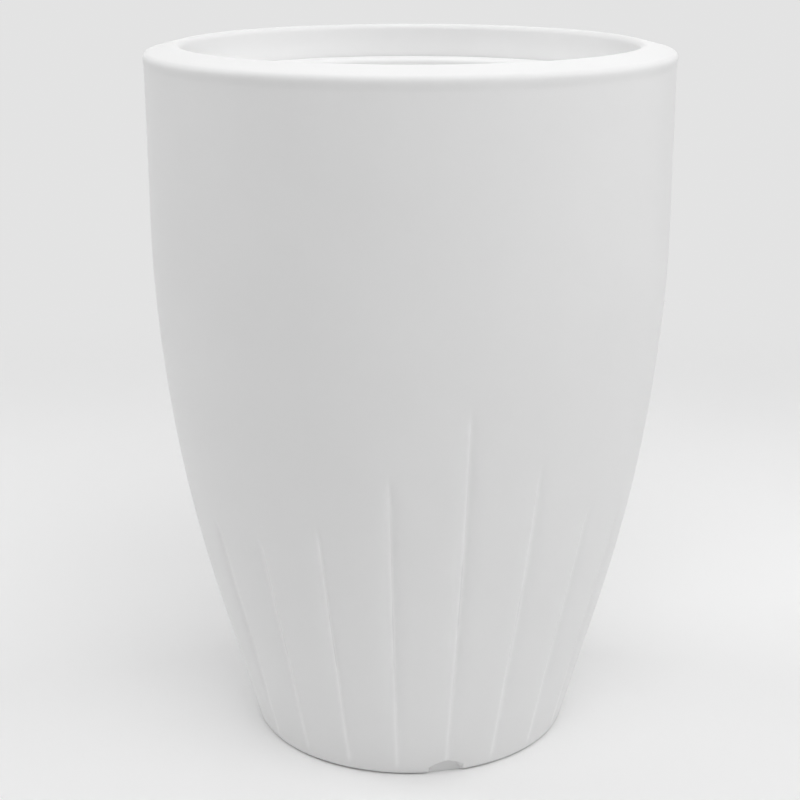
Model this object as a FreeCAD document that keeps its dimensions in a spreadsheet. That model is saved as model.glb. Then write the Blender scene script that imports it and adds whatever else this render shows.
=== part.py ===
import FreeCAD, Part
import math
import operator
import os
import types

import Sketcher

# Cone planter: a tapered outer shell with an in-turned lip and pleats that rise from its foot, a liner
# that hangs by its flange on the shell's ledge and lifts out by two pull-up handles, and a drain plug
# with its gasket in the shell's floor. Millimetres, +Z up, origin at the middle of the foot's underside,
# the front at -Y.

# Driving dimensions: lengths in millimetres, angles in degrees, and counts
DRIVING = {
    # Outer shell: flank, lip and ledge
    "height": 685.0,             # ground to the crown of the lip
    "top_radius": 250.0,         # outside of the upright wall under the lip
    "cone_angle": 15.6,          # straight lower flank, from upright
    "cone_height": 130.0,        # where the straight flank begins to bend
    "upright_depth": 145.0,      # crown down to where the flank has bent upright
    "wall": 5.0,                 # moulded wall of the shell
    "lip_width": 35.0,           # outside of the wall in to the well
    "lip_slope": 14.0,           # fall of the lip's top towards its outer edge
    "lip_round": 6.0,
    "crown_round": 6.0,
    "well_depth": 37.0,          # crown down to the ledge
    "ledge_width": 17.0,
    # Outer shell: floor and foot
    "foot_width": 24.0,
    "foot_round": 7.0,
    "floor_lift": 14.0,          # ground up to the floor's underside
    "notch_width": 33.0,         # arched notch in the outside of the foot
    "notch_height": 14.0,
    "notch_rise": 8.0,           # rise of the notch's arched top
    "notch_depth": 5.0,          # foot's outer edge in to the back of the notch
    # Outer shell: pleats, in arches of seven, each arch with its longest pleat in the middle
    "arch_count": 3,
    "pleat_azimuth": 12.6,       # middle pleat of the front arch, to the right of the front
    "pleat_width": 9.0,
    "pleat_depth": 2.5,
    "pleat_runout": 100.0,       # radius of the curve on which a pleat leaves the flank at its top
    "pleat_lean": 0.7,           # a pleat's lower end is steeper than the flank, so it fades to the foot
    "pleat_top_middle": 400.0,
    "pleat_top_second": 340.0,
    "pleat_top_third": 285.0,
    "pleat_top_outer": 262.0,
    # Planting liner
    "liner_depth": 320.0,        # top of the flange to the liner's underside
    "liner_gap": 12.0,           # ledge's edge in to the liner's wall
    "liner_taper": 21.0,         # radius that the wall loses from flange to floor
    "liner_wall": 3.0,
    "flange_thickness": 4.0,
    "flange_clearance": 2.0,     # flange to the well's wall
    "flange_round": 4.0,
    "liner_foot_round": 10.0,
    "liner_hole_radius": 3.5,
    "liner_hole_inset": 65.0,    # edge of the liner's floor in to the ring of drain holes
    "liner_hole_count": 12,
    # Pull-up handles, one at each side of the liner
    "handle_travel": 50.0,
    "handle_span": 68.0,         # middle of one leg to middle of the other
    "leg_width": 8.0,
    "leg_thickness": 4.0,
    "leg_clearance": 2.0,        # leg's outer corner to the ledge's edge
    "slot_clearance": 0.5,
    "shoulder_overhang": 3.0,    # leg's shoulder past the leg, each way
    "barb_overhang": 2.0,
    "barb_height": 6.0,
    "stop_clearance": 0.5,       # left between barb and flange at the end of the travel
    "finger_gap": 10.0,
    "grip_thickness": 6.0,
    "grip_depth": 12.0,
    "grip_round": 2.5,
    # Drain plug and its gasket
    "drain_radius": 20.0,
    "stem_clearance": 0.4,
    "stem_drop": 4.0,            # stem below the floor's underside
    "gasket_width": 7.0,
    "gasket_thickness": 3.0,
    "head_overhang": 1.0,        # plug's head past the gasket
    "head_thickness": 5.0,
    "fin_width": 40.0,
    "fin_thickness": 8.0,
    "fin_height": 16.0,
    "fin_round": 3.0,
}

ARCH_STEPS = 3                   # pleats each side of an arch's middle one
CUT_MARGIN = 12.0                # how far a cut runs past the face that it leaves
NEAR = 1e-4                      # how close an edge has to lie to be the one looked for


class Size:
    """A number together with the sheet expression that gives it."""

    def __init__(self, value, text):
        self.value = value
        self.text = text

    def __add__(self, other):
        return combine(operator.add, "+", self, other)

    def __sub__(self, other):
        return combine(operator.sub, "-", self, other)

    def __mul__(self, other):
        return combine(operator.mul, "*", self, other)

    def __truediv__(self, other):
        return combine(operator.truediv, "/", self, other)

    def __neg__(self):
        return Size(-self.value, f"-({self.text})")


def combine(action, sign, left, right):
    """Size of left and right taken together, as a number and as an expression."""
    if not isinstance(right, Size):
        right = Size(right, str(right))
    return Size(action(left.value, right.value), f"({left.text} {sign} {right.text})")


def sine(angle):
    return Size(math.sin(math.radians(angle.value)), f"sin({angle.text} * 1 deg)")


def cosine(angle):
    return Size(math.cos(math.radians(angle.value)), f"cos({angle.text} * 1 deg)")


def tangent(angle):
    return Size(math.tan(math.radians(angle.value)), f"tan({angle.text} * 1 deg)")


def root(area):
    return Size(math.sqrt(area.value), f"sqrt({area.text})")


def number(coordinate):
    """Plain number of a Size or of a number."""
    return getattr(coordinate, "value", coordinate)


def make_sheet(doc):
    """Spreadsheet of the driving dimensions; returns them as Sizes."""
    sheet = doc.addObject("Spreadsheet::Sheet", "Sizes")
    for row, (name, value) in enumerate(DRIVING.items(), start=1):
        sheet.set(f"A{row}", name)
        sheet.set(f"B{row}", str(value))
        sheet.setAlias(f"B{row}", name)
    doc.recompute()
    return types.SimpleNamespace(**{name: Size(sheet.get(name), f"Sizes.{name}") for name in DRIVING})


def add_shared_sizes(size):
    """Adds the sizes and places that more than one sub-part takes from the driving ones."""
    # Flank: a straight cone, then a bend that ends upright
    size.shoulder_height = size.height - size.upright_depth
    size.flank_bend = (size.shoulder_height - size.cone_height) / sine(size.cone_angle)
    size.bend_x = size.top_radius - size.flank_bend
    cone_top = size.bend_x + size.flank_bend * cosine(size.cone_angle)
    size.foot_radius = cone_top - size.cone_height * tangent(size.cone_angle)
    # Well inside the lip, its ledge, and the liner that hangs there
    size.well_radius = size.top_radius - size.lip_width
    size.ledge_radius = size.well_radius - size.ledge_width
    size.ledge_height = size.height - size.well_depth
    size.flange_top = size.ledge_height + size.flange_thickness
    size.liner_radius = size.ledge_radius - size.liner_gap
    # Legs of a handle: between the liner's wall and the ledge's edge, their outer corners clear of it
    size.leg_near = (size.handle_span - size.leg_width) / 2
    size.leg_far = (size.handle_span + size.leg_width) / 2
    corner_reach = size.ledge_radius - size.leg_clearance
    corner_side = size.leg_far + size.barb_overhang
    size.leg_outer = root(corner_reach * corner_reach - corner_side * corner_side)
    size.leg_inner = size.leg_outer - size.leg_thickness
    size.floor_top = size.floor_lift + size.wall


def origin_feature(body, role):
    """The body's own origin plane or axis with this role."""
    return next(item for item in body.Origin.OriginFeatures if item.Role == role)


def make_sketch(body, name, role, lift=None):
    """Sketch on one of the body's origin planes, or lifted from it along its normal."""
    sketch = body.newObject("Sketcher::SketchObject", name)
    sketch.AttachmentSupport = [(origin_feature(body, role), "")]
    sketch.MapMode = "FlatFace"
    if lift is not None:
        sketch.setExpression("AttachmentOffset.Base.z", lift.text)
    return sketch


def pin(sketch, kind, geometry, position, coordinate):
    """Holds one coordinate of a point at a Size or at a number."""
    constraint = Sketcher.Constraint(kind, -1, 1, geometry, position, float(number(coordinate)))
    index = sketch.addConstraint(constraint)
    if isinstance(coordinate, Size):
        sketch.setExpression(f"Constraints[{index}]", coordinate.text)


def set_radius(sketch, geometry, radius):
    """Binds the radius of a circle or an arc."""
    index = sketch.addConstraint(Sketcher.Constraint("Radius", geometry, radius.value))
    sketch.setExpression(f"Constraints[{index}]", radius.text)


def point(x, y):
    """Sketch point from two coordinates."""
    return FreeCAD.Vector(number(x), number(y), 0)


def draw_arc(sketch, start, end, radius, turns_left):
    """Arc of under half a circle from start to end; returns its index."""
    chord = end - start
    half = chord.Length / 2
    across = FreeCAD.Vector(-chord.y, chord.x, 0).normalize()
    if not turns_left:
        start, end, across = end, start, -across
    centre = (start + end) / 2 + across * math.sqrt(radius.value ** 2 - half ** 2)
    angles = [math.atan2(tip.y - centre.y, tip.x - centre.x) for tip in (start, end)]
    circle = Part.Circle(centre, FreeCAD.Vector(0, 0, 1), radius.value)
    geometry = sketch.addGeometry(Part.ArcOfCircle(circle, *angles))
    set_radius(sketch, geometry, radius)
    return geometry


def draw_outline(sketch, corners, left_arcs=None, right_arcs=None, closed=True):
    """Outline through pinned corners. The arcs map the corner where a segment starts to the radius of
    the arc that it is, turning left or right."""
    left_arcs = left_arcs or {}
    right_arcs = right_arcs or {}
    count = len(corners)
    segments = []
    for index in range(count if closed else count - 1):
        start, end = point(*corners[index]), point(*corners[(index + 1) % count])
        if index in left_arcs:
            segments.append((draw_arc(sketch, start, end, left_arcs[index], True), 1, 2))
        elif index in right_arcs:
            segments.append((draw_arc(sketch, start, end, right_arcs[index], False), 2, 1))
        else:
            segments.append((sketch.addGeometry(Part.LineSegment(start, end)), 1, 2))
    for index in range(0 if closed else 1, len(segments)):
        before, after = segments[index - 1], segments[index]
        sketch.addConstraint(
            Sketcher.Constraint("Coincident", before[0], before[2], after[0], after[1]))
    for index, (x, y) in enumerate(corners):
        at_end = index == len(segments)
        geometry, first, last = segments[index - 1 if at_end else index]
        position = last if at_end else first
        pin(sketch, "DistanceX", geometry, position, x)
        pin(sketch, "DistanceY", geometry, position, y)


def draw_circle(sketch, x, y, radius):
    """Circle with its centre and radius bound."""
    circle = Part.Circle(point(x, y), FreeCAD.Vector(0, 0, 1), radius.value)
    geometry = sketch.addGeometry(circle)
    pin(sketch, "DistanceX", geometry, 3, x)
    pin(sketch, "DistanceY", geometry, 3, y)
    set_radius(sketch, geometry, radius)


def draw_rectangle(sketch, x_low, y_low, x_high, y_high):
    """Upright rectangle between two corners."""
    draw_outline(sketch, [(x_low, y_low), (x_high, y_low), (x_high, y_high), (x_low, y_high)])


def revolve(body, sketch):
    """Full turn of a sketch on the XZ plane about the body's upright axis."""
    feature = body.newObject("PartDesign::Revolution", "Revolution")
    feature.Profile = sketch
    feature.ReferenceAxis = (sketch, ["V_Axis"])
    feature.Angle = 360
    body.Document.recompute()


def pad(body, sketch, length):
    """Pad of a sketch, half its length to each side of the sketch's plane."""
    feature = body.newObject("PartDesign::Pad", "Pad")
    feature.Profile = sketch
    feature.SideType = "Symmetric"
    feature.setExpression("Length", length.text)
    body.Document.recompute()


def pocket(body, sketch, length):
    """Pocket of a sketch along its plane's normal."""
    before = body.Tip.Shape.Volume
    feature = body.newObject("PartDesign::Pocket", "Pocket")
    feature.Profile = sketch
    feature.Reversed = True
    feature.setExpression("Length", length.text)
    body.Document.recompute()
    check_cut(feature, before, 0)
    return feature


def pipe_cut(body, section, path, least):
    """Cut of a section carried along a path; it takes away at least this volume."""
    before = body.Tip.Shape.Volume
    feature = body.newObject("PartDesign::SubtractivePipe", "Pipe")
    feature.Profile = section
    feature.Spine = path
    body.Document.recompute()
    check_cut(feature, before, least)
    return feature


def check_cut(feature, before, least):
    """Stops where a cut took away too little, because a failed cut shows no other sign."""
    if before - feature.Shape.Volume <= least:
        raise RuntimeError(f"{feature.Label} cut too little")


def polar_pattern(body, originals, count):
    """Copies of the features round the body's upright axis, which become the body's tip."""
    feature = body.newObject("PartDesign::PolarPattern", "PolarPattern")
    feature.Originals = originals
    feature.Axis = (origin_feature(body, "Z_Axis"), [""])
    feature.Angle = 360
    feature.setExpression("Occurrences", count.text)
    body.Tip = feature
    body.Document.recompute()


def fillet(body, picks, radius):
    """Round of those edges of the tip that the test picks."""
    base = body.Tip
    names = [f"Edge{index}" for index, edge in enumerate(base.Shape.Edges, start=1) if picks(edge)]
    feature = body.newObject("PartDesign::Fillet", "Fillet")
    feature.Base = (base, names)
    feature.setExpression("Radius", radius.text)
    body.Document.recompute()


def ring_edge(radius, height):
    """Test for the round edge about the upright axis with this radius and height."""
    def picks(edge):
        curve = edge.Curve
        if not isinstance(curve, Part.Circle):
            return False
        on_axis = math.hypot(curve.Center.x, curve.Center.y) < NEAR
        fits = abs(curve.Radius - radius.value) < NEAR
        return on_axis and fits and abs(curve.Center.z - number(height)) < NEAR
    return picks


def straight_edge(direction, height):
    """Test for the straight edges along a direction at this height."""
    def picks(edge):
        if not isinstance(edge.Curve, Part.Line):
            return False
        along = abs(edge.Curve.Direction.dot(direction)) > 1 - NEAR
        return along and all(abs(vertex.Z - height.value) < NEAR for vertex in edge.Vertexes)
    return picks


def bow_radius(width, depth):
    """Radius of the circle whose cap has this width and depth."""
    half = width / 2
    return (half * half + depth * depth) / (depth * 2)


def outer_shell(doc, size):
    """Outer shell: one revolved wall from the floor up the flank, over the lip and down to the ledge."""
    body = doc.addObject("PartDesign::Body", "outer_shell")
    foot_inner = size.foot_radius - size.foot_width
    # Straight cone: its top on the outside, then the inside, which runs parallel to it
    cone_reach = size.bend_x + size.flank_bend * cosine(size.cone_angle)
    inner_bend = size.flank_bend - size.wall
    inner_reach = size.bend_x + inner_bend * cosine(size.cone_angle)
    inner_height = size.shoulder_height - inner_bend * sine(size.cone_angle)
    floor_reach = inner_reach - (inner_height - size.floor_top) * tangent(size.cone_angle)
    # Lip: its top slopes from the crown down to the outer edge, and its underside is parallel to that
    crown_x = size.well_radius + size.crown_round
    crown_z = size.height - size.crown_round
    slope_x = crown_x + size.crown_round * sine(size.lip_slope)
    slope_z = crown_z + size.crown_round * cosine(size.lip_slope)
    fall = tangent(size.lip_slope)
    lip_edge = slope_z - (size.top_radius - slope_x) * fall
    lip_under = lip_edge - size.wall / cosine(size.lip_slope)
    wall_inside = size.top_radius - size.wall
    well_outside = size.well_radius + size.wall
    profile = make_sketch(body, "shell_profile", "XZ_Plane")
    draw_outline(
        profile,
        [
            (0, size.floor_lift),
            (foot_inner, size.floor_lift),
            (foot_inner, 0),
            (size.foot_radius, 0),
            (cone_reach, size.cone_height),
            (size.top_radius, size.shoulder_height),
            (size.top_radius, lip_edge),
            (slope_x, slope_z),
            (size.well_radius, crown_z),
            (size.well_radius, size.ledge_height),
            (size.ledge_radius, size.ledge_height),
            (size.ledge_radius, size.ledge_height - size.wall),
            (well_outside, size.ledge_height - size.wall),
            (well_outside, lip_under + (size.top_radius - well_outside) * fall),
            (wall_inside, lip_under + size.wall * fall),
            (wall_inside, size.shoulder_height),
            (inner_reach, inner_height),
            (floor_reach, size.floor_top),
            (0, size.floor_top),
        ],
        left_arcs={4: size.flank_bend, 7: size.crown_round},
        right_arcs={15: inner_bend},
    )
    revolve(body, profile)
    fillet(body, ring_edge(size.top_radius, lip_edge), size.lip_round)
    fillet(body, ring_edge(size.foot_radius, 0), size.foot_round)
    cut_drain(body, size)
    cut_notches(body, size)
    cut_pleats(body, size)
    # The arch on the body's own +X comes to the front
    body.Placement = FreeCAD.Placement(
        FreeCAD.Vector(), FreeCAD.Rotation(FreeCAD.Vector(0, 0, -1), 90 - size.pleat_azimuth.value))
    body.setExpression("Placement.Rotation.Angle", f"90 - {size.pleat_azimuth.text}")
    return body


def cut_drain(body, size):
    """Round drain hole through the middle of the floor."""
    sketch = make_sketch(body, "drain_hole", "XY_Plane")
    draw_circle(sketch, 0, 0, size.drain_radius)
    pocket(body, sketch, size.floor_top + CUT_MARGIN)


def cut_notches(body, size):
    """Arched notches in the outside of the foot, one under the middle of each arch of pleats."""
    half = size.notch_width / 2
    spring = size.notch_height - size.notch_rise
    sketch = make_sketch(body, "foot_notch", "YZ_Plane", size.foot_radius - size.notch_depth)
    draw_outline(
        sketch,
        [(-half, -CUT_MARGIN), (half, -CUT_MARGIN), (half, spring), (-half, spring)],
        left_arcs={2: bow_radius(size.notch_width, size.notch_rise)},
    )
    notch = pocket(body, sketch, size.notch_depth + CUT_MARGIN)
    polar_pattern(body, [notch], size.arch_count)


def cut_pleats(body, size):
    """Pleats: round-bottomed valleys that deepen up from the foot, follow the flank and run out of it."""
    tops = [size.pleat_top_middle, size.pleat_top_second, size.pleat_top_third, size.pleat_top_outer]
    radius = bow_radius(size.pleat_width, size.pleat_depth)
    seam_outwards = FreeCAD.Placement(FreeCAD.Vector(), FreeCAD.Rotation(FreeCAD.Vector(0, 0, 1), -90))
    cuts = []
    for step in range(-ARCH_STEPS, ARCH_STEPS + 1):
        top = tops[abs(step)]
        path = pleat_path(body, size, step, top, radius - size.pleat_depth)
        section = body.newObject("Sketcher::SketchObject", "pleat_section")
        section.AttachmentSupport = [(path, "Edge1")]
        section.MapMode = "NormalToEdge"
        section.MapPathParameter = 0
        section.AttachmentOffset = seam_outwards
        draw_circle(section, 0, 0, radius)
        least = size.pleat_width * size.pleat_depth * (top - size.cone_height) / 2
        cuts.append(pipe_cut(body, section, path, least.value))
    before = body.Tip.Shape.Volume
    polar_pattern(body, cuts, size.arch_count)
    check_cut(body.Tip, before, least.value * len(cuts) * (size.arch_count.value - 1))


def pleat_path(body, size, step, top, lift):
    """Run-out, bend and line that a pleat's cutter follows from its top down, lift outside the flank's
    bend, in the upright plane that is step pleats from the middle of the arch."""
    bend = size.flank_bend + lift
    line_angle = size.cone_angle - size.pleat_lean
    line_x = size.bend_x + bend * cosine(line_angle)
    line_z = size.shoulder_height - bend * sine(line_angle)
    start_x = line_x - (line_z + CUT_MARGIN) * tangent(line_angle)
    # Run-out: the two curves part by climb * climb / 2 * (1 / bend + 1 / runout), the depth at the top
    runout = size.pleat_runout
    climb = root(size.pleat_depth * 2 * runout * bend / (runout + bend))
    leave_z = top - climb
    drop = size.shoulder_height - leave_z
    leave_x = size.bend_x + root(bend * bend - drop * drop)
    grown = (bend + runout) / bend
    runout_x = size.bend_x + (leave_x - size.bend_x) * grown
    runout_z = size.shoulder_height - drop * grown
    end_z = top + CUT_MARGIN
    rise = end_z - runout_z
    end_x = runout_x - root(runout * runout - rise * rise)
    path = make_sketch(body, "pleat_path", "XZ_Plane")
    if step:
        spacing = 360 / (2 * ARCH_STEPS + 1)
        turn = FreeCAD.Rotation(FreeCAD.Vector(0, math.copysign(1, step), 0), 1)
        path.AttachmentOffset = FreeCAD.Placement(FreeCAD.Vector(), turn)
        path.setExpression(
            "AttachmentOffset.Rotation.Angle", f"{abs(step) * spacing} / {size.arch_count.text}")
    draw_outline(
        path,
        [(end_x, end_z), (leave_x, leave_z), (line_x, line_z), (start_x, -CUT_MARGIN)],
        left_arcs={0: runout},
        right_arcs={1: bend},
        closed=False,
    )
    return path


def planting_liner(doc, size):
    """Planting liner: a tapered bucket with a flange that rests on the shell's ledge."""
    body = doc.addObject("PartDesign::Body", "planting_liner")
    underside = size.flange_top - size.liner_depth
    floor_top = underside + size.liner_wall
    foot_radius = size.liner_radius - size.liner_taper
    flange_radius = size.well_radius - size.flange_clearance
    inner_top = size.liner_radius - size.liner_wall
    inner_foot = foot_radius - size.liner_wall
    profile = make_sketch(body, "liner_profile", "XZ_Plane")
    draw_outline(profile, [
        (0, underside),
        (foot_radius, underside),
        (size.liner_radius, size.ledge_height),
        (flange_radius, size.ledge_height),
        (flange_radius, size.flange_top),
        (inner_top, size.flange_top),
        (inner_foot, floor_top),
        (0, floor_top),
    ])
    revolve(body, profile)
    fillet(body, ring_edge(inner_top, size.flange_top), size.flange_round)
    fillet(body, ring_edge(foot_radius, underside), size.liner_foot_round)
    fillet(body, ring_edge(inner_foot, floor_top), size.liner_foot_round - size.liner_wall)
    cut_leg_slots(body, size)
    cut_liner_holes(body, size, underside, foot_radius)
    return body


def cut_leg_slots(body, size):
    """Slots through the flange for the legs of both handles."""
    gap = size.slot_clearance
    inner, outer = size.leg_inner - gap, size.leg_outer + gap
    near, far = size.leg_near - gap, size.leg_far + gap
    sketch = make_sketch(body, "leg_slots", "XY_Plane", size.ledge_height)
    for x_low, x_high in ((inner, outer), (-outer, -inner)):
        draw_rectangle(sketch, x_low, near, x_high, far)
        draw_rectangle(sketch, x_low, -far, x_high, -near)
    pocket(body, sketch, size.flange_thickness + CUT_MARGIN)


def cut_liner_holes(body, size, underside, foot_radius):
    """Ring of drain holes through the liner's floor."""
    sketch = make_sketch(body, "liner_hole", "XY_Plane", underside)
    draw_circle(sketch, foot_radius - size.liner_hole_inset, 0, size.liner_hole_radius)
    hole = pocket(body, sketch, size.liner_wall + CUT_MARGIN)
    polar_pattern(body, [hole], size.liner_hole_count)


def liner_handle(doc, size, name, side):
    """Pull-up handle at one side of the liner: a grip on two legs that slide through the flange, with
    shoulders that rest on the flange and barbs that stop it at the end of its travel."""
    body = doc.addObject("PartDesign::Body", name)
    grip_low = size.flange_top + size.finger_gap
    grip_high = grip_low + size.grip_thickness
    barb_top = size.ledge_height - size.handle_travel - size.stop_clearance
    barb_low = barb_top - size.barb_height
    shoulder_near = size.leg_near - size.shoulder_overhang
    shoulder_far = size.leg_far + size.shoulder_overhang
    # One leg from the top of the grip down its far side and up its near side
    leg = [
        (shoulder_far, grip_high),
        (shoulder_far, size.flange_top),
        (size.leg_far, size.flange_top),
        (size.leg_far, barb_top),
        (size.leg_far + size.barb_overhang, barb_top),
        (size.leg_far, barb_low),
        (size.leg_near, barb_low),
        (size.leg_near - size.barb_overhang, barb_top),
        (size.leg_near, barb_top),
        (size.leg_near, size.flange_top),
        (shoulder_near, size.flange_top),
        (shoulder_near, grip_low),
    ]
    other_leg = [(-y, z) for y, z in reversed(leg)]
    middle = (size.leg_inner + size.leg_outer) / 2 * side
    frame = make_sketch(body, "handle_frame", "YZ_Plane", middle)
    draw_outline(frame, leg + other_leg)
    pad(body, frame, size.leg_thickness)
    bar = make_sketch(body, "handle_grip", "YZ_Plane", middle)
    draw_rectangle(bar, -shoulder_far, grip_low, shoulder_far, grip_high)
    pad(body, bar, size.grip_depth)
    fillet(body, straight_edge(FreeCAD.Vector(0, 1, 0), grip_high), size.grip_round)
    return body


def drain_plug(doc, size):
    """Drain plug: a stem through the floor, a head that presses the gasket, and a fin to pull it by."""
    body = doc.addObject("PartDesign::Body", "drain_plug")
    stem_low = size.floor_lift - size.stem_drop
    head_low = size.floor_top + size.gasket_thickness
    head_high = head_low + size.head_thickness
    fin_high = head_high + size.fin_height
    stem_radius = size.drain_radius - size.stem_clearance
    head_radius = size.drain_radius + size.gasket_width + size.head_overhang
    profile = make_sketch(body, "plug_profile", "XZ_Plane")
    draw_outline(profile, [
        (0, stem_low),
        (stem_radius, stem_low),
        (stem_radius, head_low),
        (head_radius, head_low),
        (head_radius, head_high),
        (0, head_high),
    ])
    revolve(body, profile)
    fin = make_sketch(body, "plug_fin", "XZ_Plane")
    half = size.fin_width / 2
    draw_rectangle(fin, -half, head_high, half, fin_high)
    pad(body, fin, size.fin_thickness)
    fillet(body, straight_edge(FreeCAD.Vector(1, 0, 0), fin_high), size.fin_round)
    return body


def plug_gasket(doc, size):
    """Gasket: a flat ring between the floor and the plug's head."""
    body = doc.addObject("PartDesign::Body", "plug_gasket")
    outer = size.drain_radius + size.gasket_width
    profile = make_sketch(body, "gasket_profile", "XZ_Plane")
    draw_rectangle(
        profile, size.drain_radius, size.floor_top, outer, size.floor_top + size.gasket_thickness)
    revolve(body, profile)
    return body


def check(doc, bodies):
    """Stops if any object of the document failed, or a sub-part is not one valid solid."""
    for item in doc.Objects:
        if "Invalid" in item.State or "Error" in item.State:
            raise RuntimeError(f"{item.Label} failed: {item.State}")
    for body in bodies:
        shape = body.Shape
        if shape.isNull() or not shape.isValid() or len(shape.Solids) != 1:
            raise RuntimeError(f"{body.Label} is not one valid solid")


def main():
    """Builds the document and writes one file for each sub-part."""
    doc = FreeCAD.newDocument("cone_planter")
    size = make_sheet(doc)
    add_shared_sizes(size)
    bodies = [
        outer_shell(doc, size),
        planting_liner(doc, size),
        liner_handle(doc, size, "liner_handle_left", -1),
        liner_handle(doc, size, "liner_handle_right", 1),
        drain_plug(doc, size),
        plug_gasket(doc, size),
    ]
    doc.recompute()
    check(doc, bodies)
    os.makedirs("parts", exist_ok=True)
    for body in bodies:
        body.Shape.exportStep(f"parts/{body.Label}.step")
        print(body.Label, "volume", round(body.Shape.Volume), "mm3")


main()
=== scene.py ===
# Cone planter: the finish of its shell, liner, pull handles, drain plug and gasket.
# Metres, +Z up, the front at -Y.
import math

import bmesh
import bpy
import numpy as np
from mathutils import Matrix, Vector


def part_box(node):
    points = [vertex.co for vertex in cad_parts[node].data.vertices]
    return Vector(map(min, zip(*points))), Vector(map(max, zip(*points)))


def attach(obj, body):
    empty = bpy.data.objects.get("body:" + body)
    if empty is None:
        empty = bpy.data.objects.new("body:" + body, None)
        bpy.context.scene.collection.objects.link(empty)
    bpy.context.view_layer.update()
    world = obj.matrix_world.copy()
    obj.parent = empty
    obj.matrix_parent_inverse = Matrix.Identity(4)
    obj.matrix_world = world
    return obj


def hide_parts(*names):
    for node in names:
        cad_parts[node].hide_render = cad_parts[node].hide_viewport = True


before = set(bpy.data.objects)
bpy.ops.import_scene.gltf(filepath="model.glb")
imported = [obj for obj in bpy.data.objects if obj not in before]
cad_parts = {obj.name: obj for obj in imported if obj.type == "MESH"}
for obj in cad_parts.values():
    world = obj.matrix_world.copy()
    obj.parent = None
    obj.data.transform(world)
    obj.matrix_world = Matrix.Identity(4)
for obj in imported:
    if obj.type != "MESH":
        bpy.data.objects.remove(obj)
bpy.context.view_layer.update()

MM = 0.001
WELD_DISTANCE = 0.01 * MM
SHARP_ANGLE = math.radians(38)

# Outer shell: flank, lip and well
SHELL_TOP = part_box("outer_shell")[1]
HEIGHT = SHELL_TOP.z
TOP_RADIUS = SHELL_TOP.x
CONE_ANGLE = math.radians(15.6)
CONE_HEIGHT = 130 * MM
SHOULDER = HEIGHT - 145 * MM
WALL = 5 * MM
WELL_RADIUS = TOP_RADIUS - 35 * MM
LEDGE_RADIUS = WELL_RADIUS - 17 * MM
LEDGE_HEIGHT = HEIGHT - 37 * MM
LIP_SLOPE = math.radians(14)
LIP_ROUND = 6 * MM
CROWN_ROUND = 6 * MM
LEDGE_ROUND = 1.5 * MM
NECK_DEPTH = 0.9 * MM            # how far the upright wall stands back below the lip's edge
NECK_TURN = 8 * MM
NECK_START = SHOULDER - 80 * MM  # it begins to stand back here, and does so fully at the next height
NECK_FULL = SHOULDER + 20 * MM
WORN_LIP = HEIGHT - 9 * MM       # middle of the wear on the lip's outer edge
WORN_REACH = 5 * MM

# The lip's slope falls from the crown's round, and its round outer edge starts at this height
CROWN_END = WELL_RADIUS + CROWN_ROUND + CROWN_ROUND * math.sin(LIP_SLOPE)
LIP_FALL = (TOP_RADIUS - CROWN_END) * math.tan(LIP_SLOPE)
LIP_BRINK = HEIGHT - CROWN_ROUND * (1 - math.cos(LIP_SLOPE)) - LIP_FALL
LIP_EDGE = LIP_BRINK - LIP_ROUND * math.tan((math.pi / 2 - LIP_SLOPE) / 2)

# The flank's bend ends upright at the shoulder, and the cone below it is tangent to it
FLANK_BEND = (SHOULDER - CONE_HEIGHT) / math.sin(CONE_ANGLE)
BEND_CENTRE = TOP_RADIUS - FLANK_BEND
FOOT_RADIUS = BEND_CENTRE + FLANK_BEND * math.cos(CONE_ANGLE) - CONE_HEIGHT * math.tan(CONE_ANGLE)

# Outer shell: floor, foot and the notches in the foot
GASKET_WIDTH = 7 * MM
DRAIN_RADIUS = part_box("plug_gasket")[1].x - GASKET_WIDTH
FLOOR_LOW = 14 * MM
FLOOR_TOP = FLOOR_LOW + WALL
FOOT_INNER = FOOT_RADIUS - 24 * MM
FOOT_ROUND = 7 * MM
NOTCH_HALF = 16.5 * MM
NOTCH_HEIGHT = 14 * MM
NOTCH_RISE = 8 * MM
NOTCH_RADIUS = (NOTCH_HALF ** 2 + NOTCH_RISE ** 2) / (2 * NOTCH_RISE)
NOTCH_DEPTH = 5 * MM             # foot's outer edge in to the back of the notch
NOTCH_EDGE = 3 * MM              # how wide the turn is at the notch's edge

# Pleats: arches of seven, each with its longest pleat in the middle, over a notch
ARCHES = 3
ARCH_STEPS = 3                   # pleats each side of an arch's middle one
PLEATS = ARCHES * (2 * ARCH_STEPS + 1)
PLEAT_SPACING = 2 * math.pi / PLEATS
FIRST_PLEAT = math.radians(12.6 - 90)
PLEAT_TOPS = np.array([400, 340, 285, 262]) * MM
PLEAT_REACH_END = 3.0 * MM       # how far a pleat reaches to each side, at its ends and half-way up
PLEAT_REACH_MIDDLE = 5.5 * MM
PLEAT_SLOPE = 1.0                # how steep the panels fall at a pleat
PLEAT_CREASE = 0.7 * MM          # how wide the turn is at a pleat's bottom
PLEAT_RUNOUT = 32 * MM
PLEAT_START = 6 * MM             # ground up to the faint start of the pleats
PLEAT_START_TURN = 10 * MM       # height that their start takes
PLEAT_FULL = 140 * MM            # ground up to where they have their whole depth
PLEAT_FAINT = 0.30               # share of the depth that is left near the foot
PLEAT_HIGHLIGHT_REACH = 2.2 * MM            # how far the painted highlight along a crease reaches to each side
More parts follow.
